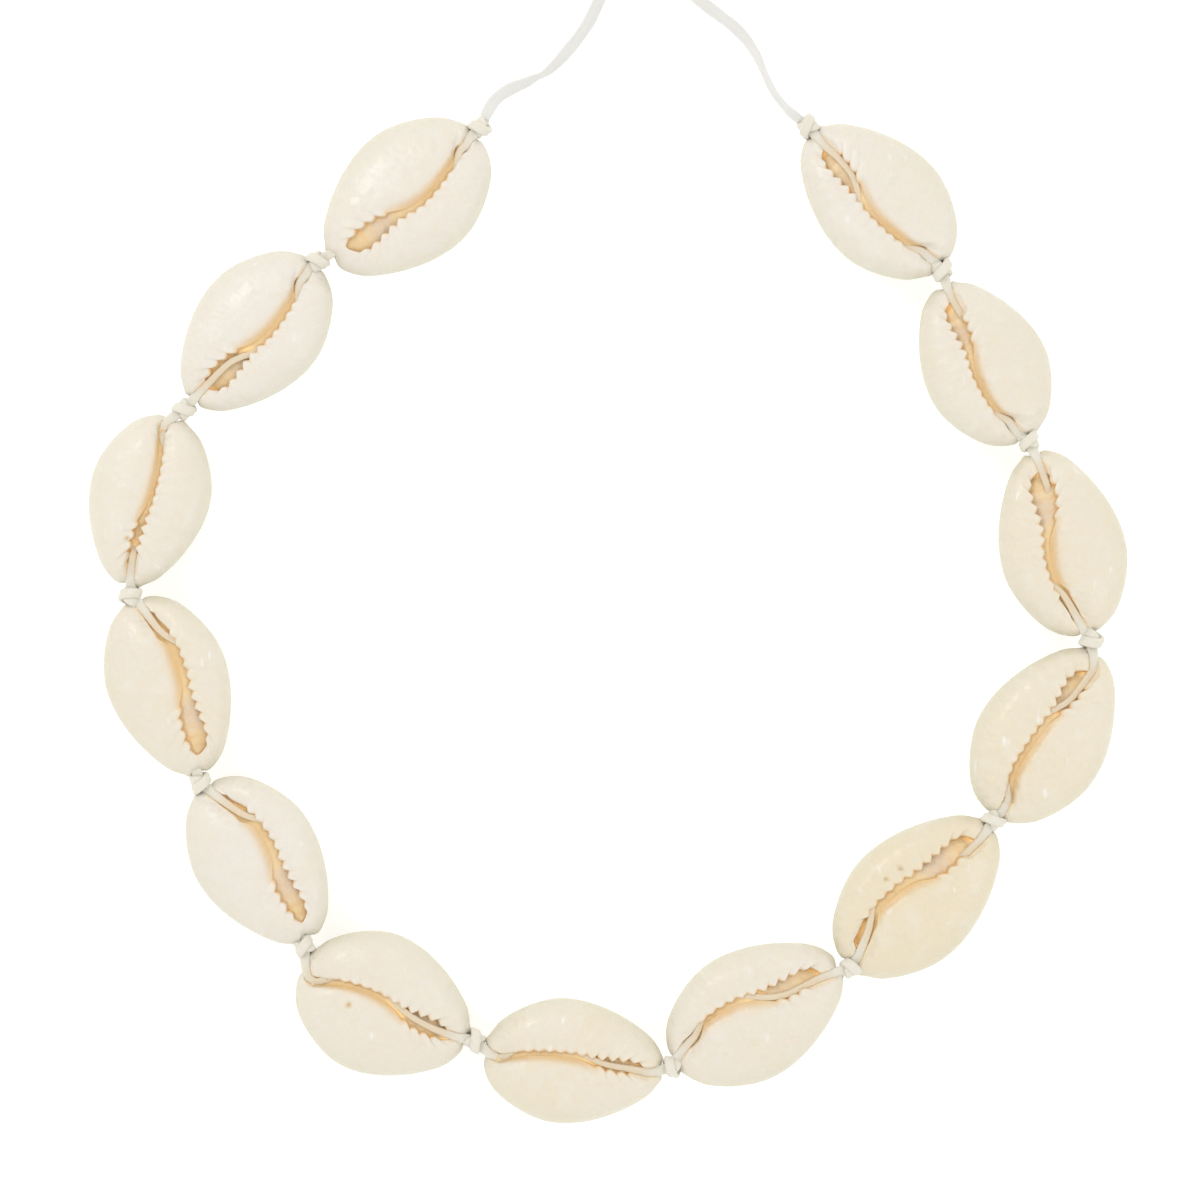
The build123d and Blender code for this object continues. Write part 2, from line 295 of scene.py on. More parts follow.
def shell_finish():
    """Cream glaze, with layers of paint over it, each by its share."""
    finish = Finish("cowrie_glaze")
    cloud = finish.noise(150)
    patch = finish.noise(330, 4)
    fine = finish.noise(1100)
    glint_streaks = finish.noise(1150, 1, stretch=(1, 0.28, 1))
    along, beside, edge, back = [finish.attribute(name) for name in ("along", "beside", "edge", "back")]
    mottled = (cloud - 0.5) * 0.6 + (patch - 0.5) * 0.5 + (fine - 0.5) * 0.6
    bands = ((along * 11 + cloud * 4).sine() * 0.5 + 0.5) * back
    layers = [
        (((patch - 0.52) * 3).clamped() * 0.6, MILKY),
        # painted glints: short white streaks that all run one way
        (((glint_streaks + patch * 0.5 - 0.985) * 9).clamped() * 0.8, GLINT_WHITE),
        (edge**2 * 0.5 + edge**10 * 0.4, MARGIN_CREAM),
        (back * (0.4 + cloud * 0.5), BACK_CREAM),
        (bands * 0.35, BACK_BAND),
        # the lip's orange stain, with thin lines of painted shade beside the cord
        ((finish.attribute("stain") * (0.6 + cloud * 0.7)).clamped(), STAIN_AND_SHADE),
        (finish.attribute("inside"), inside_colour(finish, along, beside)),
        # dips between the teeth: their own brown and painted shade
        (finish.attribute("dip"), DIP_BROWN),
        (finish.attribute("pit"), PIT_BROWN),
    ]
    glaze = finish.mix((finish.attribute("tone") + mottled).clamped(), WHITE_CREAM, WARM_CREAM)
    for share, paint in layers:
        glaze = finish.mix(share, glaze, paint)
    # painted light: the glaze is painted lighter in the crevices beside the cord
    glaze = finish.scaled(glaze, 1 + beside * 0.27)
    wrinkle = (along * 95 + patch * 26).sine()
    height = fine * 0.5 + patch * 2.4 + wrinkle * 0.04
    return finish.surface(
        Base_Color=glaze,
        Roughness=0.33 + fine * 0.14,
        Normal=finish.bump(height, 0.5, 0.0004),
        Subsurface_Weight=0.2,
        Subsurface_Radius=(1.0, 0.7, 0.45),
        Subsurface_Scale=0.0012,
        Coat_Weight=0.15,
        Coat_Roughness=0.1,
    )


SHELL_GLAZE = shell_finish()
print("shell glaze:", len(SHELL_GLAZE.node_tree.nodes), "nodes")

# %% [markdown]
# ## Where every shell lies
#
# The shells stand in the order in which they are threaded, from the left tail round to the right one.
# Each row says which way the cord heads there, how deep the knots nest in the shell's ends, the shell's
# size against the average one, its place beside the cord and how warm its cream is. Walking along the
# cord with these few values gives every knot and every shell its place, the same as in the solids.

# %% The table of shells
SHELL_LENGTH = 20.8
SHELL_WIDTH = 14.5
KNOT_WIDTH = 2.6
CORD_HEIGHT = 7.9
FIRST_KNOT = (-14.45, 54.9)
COLUMNS = "heading nest length width lead side twist tone".split()
SHELLS = [
    (219.5, 0.90, 1.03, 1.06, -0.03, 0.11, 1.5, 0.15),
    (228.0, 0.66, 0.99, 1.00, -0.05, 0.01, 0.5, 0.05),
    (254.0, 0.88, 0.94, 0.94, 0.01, -0.16, 1.5, 0.30),
    (290.5, 0.64, 1.00, 0.95, -0.02, 0.08, -0.5, 0.50),
    (302.5, 0.36, 1.00, 0.98, 0.01, 0.12, 1.5, 0.15),
    (331.0, 0.66, 0.97, 1.11, 0.01, -0.20, 5.5, 0.35),
    (352.5, 0.86, 0.97, 0.97, 0.01, -0.13, 3.5, 0.58),
    (29.0, 0.60, 1.03, 1.02, -0.03, 0.11, 1.5, 0.42),
    (46.0, 0.32, 1.07, 1.01, -0.04, 0.03, -2.5, 1.00),
    (61.5, 0.62, 1.03, 1.02, -0.03, -0.07, -3.5, 0.70),
    (107.5, 0.86, 1.02, 0.98, -0.03, 0.00, -2.0, 0.60),
    (117.0, 0.80, 0.94, 0.97, -0.07, 0.09, 1.5, 0.40),
    (133.0, 0.46, 1.00, 0.98, -0.03, -0.01, 2.5, 0.20),
]
print(len(SHELLS), "shells, the longest", round(max(row[2] for row in SHELLS) * SHELL_LENGTH, 1), "mm long")


# %% Walk along the cord
def heading_vector(degrees):
    return np.array([math.cos(math.radians(degrees)), math.sin(math.radians(degrees))])


class Cowrie:
    """One shell's sizes and place. Its own frame has +X towards its outer lip and +Y to its back end."""

    def __init__(self, number, row, knot):
        vars(self).update(zip(COLUMNS, row))
        self.number = number
        self.half_length = self.length * SHELL_LENGTH / 2
        self.half_width = self.width * SHELL_WIDTH / 2
        ahead = heading_vector(self.heading)
        outward = np.array([-ahead[1], ahead[0]])
        step = 2 * self.half_length + self.nest * KNOT_WIDTH
        self.next_knot = knot + ahead * step
        centre = knot + ahead * (step / 2 + self.lead * self.half_length)
        self.centre = centre + outward * (self.side * self.half_width)
        turned = self.heading + self.twist + 90
        self.axes = np.array([heading_vector(turned), heading_vector(turned + 90)])
        self.knots = [(k - self.centre) @ self.axes.T for k in (knot, self.next_knot)]

    def to_row(self, points):
        """Points of the shell's own frame in the frame of the choker."""
        points = np.asarray(points, float)
        flat = points[..., :2] @ self.axes + self.centre
        return np.concatenate([flat, points[..., 2:]], axis=-1)


cowries = []
knots = [np.array(FIRST_KNOT)]
for number, row in enumerate(SHELLS, 1):
    cowries.append(Cowrie(number, row, knots[-1]))
    knots.append(cowries[-1].next_knot)
print(len(knots), "knots, the last at", np.round(knots[-1], 2))

# %% [markdown]
# ## The slit
#
# No two cowries have the same slit. It is narrow behind, bends towards the outer lip in the middle and
# widens in front. Two short rows for each shell say how far to the side its two lips lie, at five places
# along the shell, and a smooth line runs through them. Places along a shell are shares of its half
# length, from -1 at its front end to 1 at its back end, and places to the side are shares of its half
# width.

# %% The lips of every slit
STATIONS = (0.78, 0.50, 0.15, -0.25, -0.60)
INNER_LIPS = [
    (-0.07, 0.03, 0.10, -0.02, -0.10),
    (-0.05, 0.04, 0.08, -0.02, -0.11),
    (-0.11, -0.04, -0.01, -0.07, -0.09),
    (0.03, 0.13, 0.13, 0.03, -0.03),
    (0.02, 0.13, 0.14, 0.00, -0.04),
    (-0.13, 0.00, 0.06, -0.07, -0.12),
    (-0.08, 0.00, 0.03, -0.05, -0.12),
    (0.05, 0.19, 0.17, -0.03, -0.06),
    (-0.02, 0.14, 0.16, -0.01, -0.03),
    (-0.12, 0.00, 0.01, -0.03, -0.13),
    (0.04, 0.13, 0.15, -0.02, -0.13),
    (0.00, 0.14, 0.14, -0.01, -0.06),
    (0.02, 0.11, 0.14, 0.01, -0.09),
]
OUTER_LIPS = [
    (0.07, 0.18, 0.27, 0.23, 0.27),
    (0.08, 0.20, 0.27, 0.25, 0.30),
    (0.00, 0.09, 0.12, 0.10, 0.09),
    (0.20, 0.36, 0.39, 0.35, 0.38),
    (0.18, 0.36, 0.40, 0.32, 0.30),
    (0.02, 0.14, 0.18, 0.15, 0.16),
    (0.06, 0.16, 0.18, 0.15, 0.14),
    (0.20, 0.34, 0.37, 0.28, 0.27),
    (0.21, 0.36, 0.39, 0.33, 0.32),
    (0.04, 0.19, 0.20, 0.17, 0.21),
    (0.18, 0.31, 0.36, 0.28, 0.32),
    (0.16, 0.26, 0.28, 0.22, 0.24),
    (0.16, 0.26, 0.30, 0.26, 0.26),
]
print(len(INNER_LIPS), "slits, with", len(STATIONS), "places along each lip")


# %% A smooth line through a few values
def smooth_step(low, high, value):
    share = np.clip((value - low) / (high - low), 0, 1)
    return share * share * (3 - 2 * share)


def cubic(t, start, end, start_slope, end_slope):
    """The way from start to end, which begins and ends with the two slopes."""
    bends = (t**3 - 2 * t**2 + t) * start_slope + (t**3 - t**2) * end_slope
    return (2 * t**3 - 3 * t**2 + 1) * start + (3 * t**2 - 2 * t**3) * end + bends


def smooth_through(places, values, wanted):
    """A smooth line through a few values: a cubic between every two, which runs on level past both ends."""
    order = np.argsort(places)
    x, y = np.asarray(places, float)[order], np.asarray(values, float)[order]
    slope = np.gradient(y, x)
    slope[[0, -1]] = 0
    span = np.clip(np.searchsorted(x, wanted) - 1, 0, len(x) - 2)
    width = x[span + 1] - x[span]
    t = np.clip((wanted - x[span]) / width, 0, 1)
    return cubic(t, y[span], y[span + 1], slope[span] * width, slope[span + 1] * width)


for cowrie in cowries:
    cowrie.inner_lip = np.array(INNER_LIPS[cowrie.number - 1]) * cowrie.half_width
    cowrie.outer_lip = np.array(OUTER_LIPS[cowrie.number - 1]) * cowrie.half_width
widths = [c.outer_lip[-1] - c.inner_lip[-1] for c in cowries]
print("the slits are", round(min(widths), 1), "to", round(max(widths), 1), "mm wide in front")

# %% [markdown]
# ## The cord's way through a shell
#
# The cord comes out of one knot, lies in the notch at the shell's back end and slips under the teeth of
# the outer lip. In front it comes up again, in half of the shells from under the same teeth, and in the
# others only near the end, out of the shell's inside. So the shell has to make room for it, and its line
# is drawn first. It is a NURBS curve through few points, read back as a dense row.

# %% Read a smooth line
def smooth_line(route, per_run=14):
    """Points along the NURBS curve that has the route's points as its control points."""
    data = bpy.data.curves.new("line", "CURVE")
    data.dimensions = "3D"
    spline = data.splines.new("NURBS")
    spline.points.add(len(route) - 1)
    for point, place in zip(spline.points, route):
        point.co = (*place, 1)
    spline.order_u = 3
    spline.use_endpoint_u = True
    spline.resolution_u = per_run
    holder = bpy.data.objects.new("line", data)
    mesh = bpy.data.meshes.new_from_object(holder)
    points = np.array([v.co for v in mesh.vertices])
    bpy.data.objects.remove(holder)
    bpy.data.curves.remove(data)
    bpy.data.meshes.remove(mesh)
    return points


print("three control points become", len(smooth_line([(0, 0, 0), (1, 1, 0), (2, 0, 0)])), "points")

# %% [markdown]
# The cord lies on the lips, so their height comes first: a long low arch, with a valley at each end for
# the cord. For each shell a row then says where the cord goes under and where it rises, how far to the
# side it lies at both ends, and whether the front end of the shell is closed over it.

# %% How high the lips are
BASE_RISE = 2.75
VALLEY = 0.75  # how far the base dips towards the cord at both ends


def rise_at(along):
    """Height of the lips along a shell, as a share of the base rise."""
    u = np.clip(np.abs(along - 0.1) / np.where(along > 0.1, 0.9, 1.1), 0, 1)
    return 0.12 + 0.88 * np.sqrt(1 - u**3)


def valley_at(cowrie, along):
    """How far the lips dip towards the cord near the ends. A closed front end keeps its height."""
    in_front = 0.1 if cowrie.closed else 1
    return VALLEY * (smooth_step(0.45, 0.85, along) + in_front * smooth_step(0.50, 0.85, -along))


def lips_height(cowrie, along):
    return MARGIN_HEIGHT + BASE_RISE * rise_at(along) - 0.3 - valley_at(cowrie, along)


print("the lips rise", (BASE_RISE * rise_at(np.array([-0.8, 0.1, 0.8]))).round(1), "mm over the margin")

# %% Where the cord dives and rises
WAY_COLUMNS = "dive back rise front tip closed".split()
WAYS = [
    (0.72, -0.05, -0.50, -0.12, -0.08, 1),
    (0.70, -0.02, -0.16, 0.02, -0.01, 0),
    (0.78, -0.05, -0.50, 0.01, 0.03, 0),
    (0.50, 0.02, -0.50, -0.14, -0.05, 1),
    (0.46, -0.02, -0.50, -0.14, -0.10, 1),
    (0.76, -0.04, -0.05, 0.01, 0.01, 0),
    (0.78, 0.02, -0.12, -0.02, -0.10, 0),
    (0.62, 0.04, 0.02, -0.01, -0.07, 0),
    (0.50, -0.07, -0.50, -0.02, -0.03, 0),
    (0.76, -0.06, -0.22, -0.05, -0.10, 0),
    (0.48, 0.04, -0.52, -0.01, 0.00, 0),
    (0.68, 0.05, -0.54, -0.04, -0.05, 0),
    (0.70, 0.07, -0.10, -0.01, -0.02, 0),
]
BACK_PLACE, FRONT_PLACE, TIP_PLACE = 0.92, -0.60, -0.86
EARLY_RISE = -0.4  # a cord that rises behind this place stays under the teeth, others go deep inside
print(sum(row[-1] for row in WAYS), "shells are closed in front")


# %% The cord through every shell
def way_through(cowrie):
    """The cord's control points between two knots, in the shell's own frame."""
    vars(cowrie).update(zip(WAY_COLUMNS, WAYS[cowrie.number - 1]))
    dive, rise, closed = cowrie.dive, cowrie.rise, cowrie.closed

    def place(along, to_side, below):
        height = lips_height(cowrie, np.array(along)) - below
        return (to_side * cowrie.half_width, along * cowrie.half_length, float(height))

    def beside_lip(lip, along, aside, below):
        lip_x = float(smooth_through(STATIONS, lip, np.array(along)) / cowrie.half_width)
        return place(along, lip_x + aside, below)

    inner, outer = cowrie.inner_lip, cowrie.outer_lip
    points = [
        (cowrie.back * cowrie.half_width, cowrie.half_length * BACK_PLACE, CORD_HEIGHT + 0.18),
        beside_lip(inner, min(dive + 0.16, 0.84), 0.075, 0.30),
        beside_lip((inner + outer) / 2, dive + 0.03, 0, 0.42),
        beside_lip(outer, dive - 0.10, 0.03, 0.50),
        beside_lip(outer, dive - 0.24, 0.13, 0.95),
    ]
    if rise > EARLY_RISE:
        points += [
            beside_lip(outer, (dive - 0.10 + rise) / 2, 0.13, 1.1),
            beside_lip(outer, rise + 0.14, 0.12, 0.9),
            beside_lip(outer, rise, -0.01, 0.52),
            place((rise + FRONT_PLACE) / 2, cowrie.front + 0.035, 0.44),
        ]
    else:
        points += [place(0.0, 0.12, 2.1), place(rise + 0.12, cowrie.front, 2.1)]
    points += [
        place(FRONT_PLACE, cowrie.front, 1.9 if closed else 0.42),
        place(-0.76, (cowrie.front + cowrie.tip) / 2, 1.3 if closed else 0.34),
        (cowrie.tip * cowrie.half_width, TIP_PLACE * cowrie.half_length, CORD_HEIGHT + 0.25),
    ]
    return points


for cowrie in cowries:
    cowrie.way = way_through(cowrie)
    knot_ends = [(*knot, CORD_HEIGHT) for knot in cowrie.knots]
    cowrie.cord = smooth_line([knot_ends[0], *cowrie.way, knot_ends[1]])
print("a cord's line has", len(cowries[0].cord), "points in each shell")

# %% [markdown]
# ## The form of a cowrie
#
# Seen from its slit side a cowrie is an egg with a notch at each end. Sculpting thirteen of them by hand
# would make them hard to change. Subdividing a box loses the teeth. Instead the skin is woven from two
# families of lines. Spokes run from a point on the slit's rim straight out to a point on the egg's
# outline. Rings join the points of all spokes at the same step: from deep inside, up under the lips, over
# the rim, across the base, round the margin and down the back. Every spoke crosses the slit squarely, so
# a tooth is simply a spoke that is raised.

# %% Spokes and teeth
SIDE = 176  # spokes on each side of the slit
SLIT_ENDS = (-0.80, 0.86)  # front and back tip
TOOTH_DEPTH = 0.46
FOLD_DEPTH = 0.34
TOOTH_RISE = 0.13
OUTER_TEETH = 11
OUTER_SPAN = (-0.72, 0.56)
INNER_FOLDS = 4
INNER_SPAN = (-0.72, -0.24)
LAST_NOTCH = -0.60  # the deepest dip between the folds

steps = (np.arange(SIDE) + 0.5) / SIDE * 2 - 1
spread_out = 1.2 * steps - 0.2 * steps**3  # closer together towards the tips
slit_along = (SLIT_ENDS[0] + SLIT_ENDS[1]) / 2 + spread_out * (SLIT_ENDS[1] - SLIT_ENDS[0]) / 2


def ridges(along, span, count, blunt):
    """A row of teeth with pointed dips between them: 1 on a tooth and 0 in a dip."""
    phase = np.clip((along - span[0]) / (span[1] - span[0]), 0, 1) * count
    tooth = 1 - np.abs(np.mod(phase, 1) * 2 - 1) ** blunt
    inside = smooth_step(span[0] - 0.02, span[0] + 0.04, along)
    inside = inside * (1 - smooth_step(span[1] - 0.04, span[1] + 0.02, along))
    return tooth * inside, inside


def both(front_to_back):
    """Values for the outer lip's spokes and then, in reverse, for the inner lip's."""
    return np.concatenate([front_to_back, front_to_back[::-1]])


print(2 * SIDE, "spokes, about", round(SIDE * 0.77 / OUTER_TEETH), "for each tooth of the outer lip")

# %% [markdown]
# The rim follows the two lips. Behind, and in front where the shell is open, both lips turn aside for the
# cord that lies between them. In the middle the inner lip's stained slope takes up a part of the slit, so
# the rim stays back there. At both tips the two sides of the rim meet.

# %% The slit's rim
ROUND_FRONT = 0.20  # length of the rounded stretch at the slit's front tip
CORD_ROOM = 0.53  # from the cord's middle to the lip beside it
LIP_COVER = 0.5  # how much of the gap the stained slope of the inner lip takes up
FRONT_NOTCH = (-0.78, -0.66)  # where the lips turn aside for the cord in front
BACK_NOTCH = (0.77, 0.84)  # and where they close round it behind


def rim_of(cowrie):
    """The rim without its teeth on both sides of the slit, and where it is covered, behind and open."""
    s = slit_along
    cord_x = np.interp(s, cowrie.cord[::-1, 1] / cowrie.half_length, cowrie.cord[::-1, 0])
    inner = smooth_through(STATIONS, cowrie.inner_lip, s)
    outer = smooth_through(STATIONS, cowrie.outer_lip, s)
    covers = smooth_step(cowrie.dive + 0.04, cowrie.dive - 0.12, s) * smooth_step(-0.38, -0.02, s)
    at_back = smooth_step(cowrie.dive + 0.02, cowrie.dive + 0.12, s)
    in_front = (1 - smooth_step(*FRONT_NOTCH, s)) * (1 - cowrie.closed)
    beside = np.maximum(at_back, in_front)
    left = inner + covers * LIP_COVER * (outer - inner)
    left = left + beside * (np.minimum(left, cord_x - CORD_ROOM) - left)
    right = outer + beside * (np.maximum(outer, cord_x + CORD_ROOM) - outer)
    narrow = smooth_step(*BACK_NOTCH, s)
    right = right + narrow * (cord_x + CORD_ROOM - right)
    left = left + narrow * (cord_x - CORD_ROOM - left)
    rounding = np.clip((SLIT_ENDS[0] + ROUND_FRONT - s) / ROUND_FRONT, 0, 1)
    open_front = np.clip(1 - rounding**1.7, 0.0004, 1) ** 0.7
    open_back = np.sqrt(np.clip(1 - np.clip((s - SLIT_ENDS[1] + 0.03) / 0.03, 0, 1) ** 2, 0.01, 1))
    meet = left + np.where(s < 0, 0.25, 0.5) * (right - left)
    opening = open_front * open_back
    return meet + (right - meet) * opening, meet + (left - meet) * opening, covers, at_back, opening


right, left = rim_of(cowries[0])[:2]
print("slit of shell 1: from", (right - left).min().round(2), "to", (right - left).max().round(2), "mm wide")

# %% [markdown]
# The outline is drawn through a few points, given as shares of the half length and half width, by a
# closed cubic curve. The two lobes and the notch at each end follow the cord that lies there, and the notch
# is as deep as the knot beyond it needs, so that a shell always makes room for both.

# %% A closed smooth curve
SPAN_POINTS = 24  # of the curve between two of its given points


def cubic_loop(points):
    """A closed smooth curve through the points."""
    points = np.asarray(points, float)
    ahead = np.roll(points, -1, 0)
    span = np.sqrt(np.linalg.norm(ahead - points, axis=1))[:, None]
    slope = (ahead - points) / span
    before = np.roll(span, 1, 0)
    tangent = (np.roll(slope, 1, 0) * span + slope * before) / (span + before)
    steps = np.arange(SPAN_POINTS) / SPAN_POINTS
    curve = [cubic(t, points, ahead, tangent * span, np.roll(tangent, -1, 0) * span) for t in steps]
    return np.stack(curve, axis=1).reshape(-1, 2)


def run_along(curve):
    """How far along a curve each of its points is."""
    return np.concatenate([[0], np.cumsum(np.linalg.norm(np.diff(curve, axis=0), axis=1))])


def evenly(curve, shares):
    """Points at shares of a curve's length."""
    lengths = run_along(curve)
    return np.stack([np.interp(shares * lengths[-1], lengths, curve[:, i]) for i in (0, 1)], axis=1)


corners = [(1, 0), (0, 1), (-1, 0), (0, -1)]
print("a closed curve through", len(corners), "points becomes", len(cubic_loop(corners)), "points")

# %% The outline, with and without its notches
PROFILE = [(-0.955, 0.27), (-0.86, 0.45), (-0.65, 0.665), (-0.42, 0.83), (-0.18, 0.945), (0.06, 0.995)]
PROFILE += [(0.28, 0.975), (0.48, 0.885), (0.67, 0.745), (0.84, 0.565), (0.945, 0.36)]
LOBE = 1.05  # from the middle of a notch to the tip of a lobe
LOBE_REACH = (1.75, 1.35)  # the farthest that its tip is from the shell's middle, behind and in front
KNOT_ROOM = 0.95  # from the middle of a knot to the bottom of its notch
NOTCH_LEAST = 0.4


def outline(cowrie, notched):
    """The egg's points for both sides of the slit, front to back and back to front."""
    right = [(across * cowrie.half_width, along * cowrie.half_length) for along, across in PROFILE]
    left = [(-x, y) for x, y in reversed(right)]
    ends = []
    for end, farthest, (_, knot_y) in zip((1, -1), LOBE_REACH, cowrie.knots):
        over_end = end * cowrie.cord[:, 1] - cowrie.half_length  # how far the cord is past the shell's end
        x = float(np.clip(cowrie.cord[np.abs(over_end).argmin(), 0], -0.7, 0.7))
        tip_y = end * (cowrie.half_length - 0.05)
        bottom = end * min(cowrie.half_length - NOTCH_LEAST, abs(knot_y) - KNOT_ROOM)
        lobes = [(side * min(max(0.85, LOBE + side * x), farthest), tip_y) for side in (1, -1)]
        ends.append((lobes, (x, bottom if notched else end * cowrie.half_length)))
    (back_lobes, back_bottom), (front_lobes, front_bottom) = ends
    loop = [front_bottom, front_lobes[0], *right, back_lobes[0], back_bottom, back_lobes[1], *left]
    loop.append(front_lobes[1])
    curve = cubic_loop(loop)
    half_way = (len(right) + 3) * SPAN_POINTS
    shares = (spread_out + 1) / 2
    outer = evenly(curve[: half_way + 1], shares)
    inner = evenly(np.vstack([curve[half_way:], curve[:1]]), shares)
    return np.vstack([outer, inner])


trial = outline(cowries[0], True)
print("outline of shell 1:", len(trial), "points,", np.ptp(trial, axis=0).round(1), "mm")

# %% [markdown]
# Now the skin itself, as a stack of rings. Each ring keeps, for every spoke, how far out it lies and how
# high. The parts of the skin share a few things, so one small class holds them for each shell: where the
# rim and the margin are, how sharp the lip is there, and the form of the base. The base is a dome that
# falls from the slit to the margin, with a quarter round at the rim. The teeth of the outer lip raise the
# rim and push it into the slit, and where the cord shows, a groove makes room for it.

# %% Teeth and folds on the spokes
along = both(slit_along)
outer_side = np.arange(2 * SIDE) < SIDE
outer_tooth, outer_row = ridges(along, OUTER_SPAN, OUTER_TEETH, 1.3)
inner_tooth, inner_row = ridges(along, INNER_SPAN, INNER_FOLDS, 1.8)
inner_row = inner_row * (1 + 0.8 * np.exp(-(((along - LAST_NOTCH) / 0.05) ** 2)))
tooth = np.where(outer_side, outer_tooth, inner_tooth)
between_teeth = np.where(outer_side, outer_row, inner_row) * (1 - tooth)
fold = np.where(outer_side, 0.9, 1.7)  # how far a tooth runs out over the lip
print(int((tooth > 0.5).sum()), "spokes are part of a tooth or a fold")

# %% What the rings of a shell share
RIM_ROUND = 0.45
SHORT_SPOKE = 3.2  # a spoke shorter than this has a sharper lip
RIM_DROP = 0.30  # how far the base dips along the whole slit
GROOVE_WALL = 0.26  # how wide the wall of the cord's groove is
GROOVE_FLOOR = 7.2  # the lowest that the groove may go
SLOPE_DROP = 0.40  # how far the stained slope of the inner lip falls
MASKS = ["inside", "tan", "crack", "beside", "stain", "dip", "edge", "back"]


class Skin:
    """What the rings of one shell share, with a value for every spoke, and the rings laid so far."""

    def __init__(self, cowrie):
        self.cowrie = cowrie
        self.length = cowrie.half_length
        right, left, *shares = rim_of(cowrie)
        self.gap = both(right - left)
        self.covers, self.at_back, opening = [both(share) for share in shares]
        depth = np.where(outer_side, TOOTH_DEPTH * (0.75 + 0.25 * (along < 0)), -FOLD_DEPTH)
        depth = depth * np.clip(self.gap / 1.1, 0.4, 1) * opening
        self.plain_rim = np.stack([np.concatenate([right, left[::-1]]), along * self.length], axis=1)
        self.rim = self.plain_rim - np.stack([depth * tooth, np.zeros(2 * SIDE)], axis=1)
        self.edge = outline(cowrie, True)
        self.spoke = np.linalg.norm(self.edge - self.rim, axis=1)
        self.outward = (self.edge - self.rim) / self.spoke[:, None]
        self.crest = np.minimum(1, np.linalg.norm(self.edge - self.plain_rim, axis=1) / SHORT_SPOKE)
        self.slope = np.where(outer_side, 0, self.covers)
        self.slope_width = 0.35 + LIP_COVER * self.gap / (1 - LIP_COVER)
        cord_along = cowrie.cord[:, 1] / self.length
        shown = cord_along > cowrie.dive + 0.1
        shown |= (cord_along < FRONT_NOTCH[1]) & (not cowrie.closed)
        self.shown_cord = cowrie.cord[shown]
        self.rings, self.masks = [], []

    def grooved(self, points, height):
        """The height with room for the cord that shows, and how far away that cord is."""
        away = np.linalg.norm(points[:, None] - self.shown_cord[None, :, :2], axis=2)
        aside = away.min(axis=1)
        wall = np.clip((aside - CORD_ROOM + 0.10) / GROOVE_WALL, 0, 5) ** 1.4 * 0.5
        bottom = self.shown_cord[away.argmin(axis=1), 2] + 0.06
        return np.minimum(height, np.maximum(bottom + wall, GROOVE_FLOOR)), aside

    def dome(self, points, share, from_rim):
        """Height of the base, at a share of the way to the margin and at this distance from the rim."""
        dome = BASE_RISE * rise_at(points[:, 1] / self.length) * (1 - share**2.6) ** 0.52
        round_off = RIM_ROUND * self.crest * (1 - 0.95 * self.slope)
        near = np.clip(round_off - from_rim, 0, None)
        dome = dome - (round_off - np.sqrt(round_off**2 - near**2))
        valley = RIM_DROP + valley_at(self.cowrie, along)
        dome = dome - valley * self.crest * np.exp(-((from_rim / 1.6) ** 2))
        dome = dome - SLOPE_DROP * self.slope * (1 - smooth_step(0, 1, from_rim / self.slope_width))
        return MARGIN_HEIGHT + dome + TOOTH_RISE * tooth * np.exp(-((from_rim / fold) ** 2)) * self.crest

    def lay(self, points, height, **values):
        """Keeps one more ring. A mask that isn't given is 0 all round it."""
        self.rings.append(np.column_stack([points, height]))
        self.masks.append({name: np.broadcast_to(values.get(name, 0), 2 * SIDE) for name in MASKS})


skins = [Skin(cowrie) for cowrie in cowries]
print("spokes of shell 1:", skins[0].spoke.min().round(2), "to", skins[0].spoke.max().round(2), "mm long")

# %% [markdown]
# A look into the slit shows the stained inner lip, then a shallow tan floor that runs across to the outer
# lip and on under it, where it meets that lip's underside. The innermost rings lie in that fold, and the
# next ones climb from it to the rim on both sides. Two tables say how, because both sides bend in their
# own way. Where the cord fills a narrow slit, little of the floor is left, and painted light makes it glow
# warm.

# %% Inside the slit
# For every ring: its share of the way to the fold under the outer lip, and how far down it lies in mm
UNDERSIDE = [(0, 0.08), (0.02, 0.17), (0.06, 0.26), (0.12, 0.33), (0.20, 0.39), (0.31, 0.45)]
UNDERSIDE += [(0.44, 0.51), (0.58, 0.58), (0.72, 0.66), (0.85, 0.76), (0.95, 0.88), (1, 1)]
SHELL_FLOOR = [(0.01, 0.06), (0.03, 0.12), (0.06, 0.18), (0.11, 0.23), (0.18, 0.28), (0.27, 0.32)]
SHELL_FLOOR += [(0.38, 0.36), (0.50, 0.41), (0.63, 0.48), (0.76, 0.58), (0.88, 0.74), (0.97, 0.95)]
HOLLOW = 0.9  # how far the floor goes on under the outer lip
SLOPE_FALL = 0.32  # of the floor under the stained slope
LATE_DIVE = 0.5  # a cord that goes under no sooner leaves a bare crack beside it


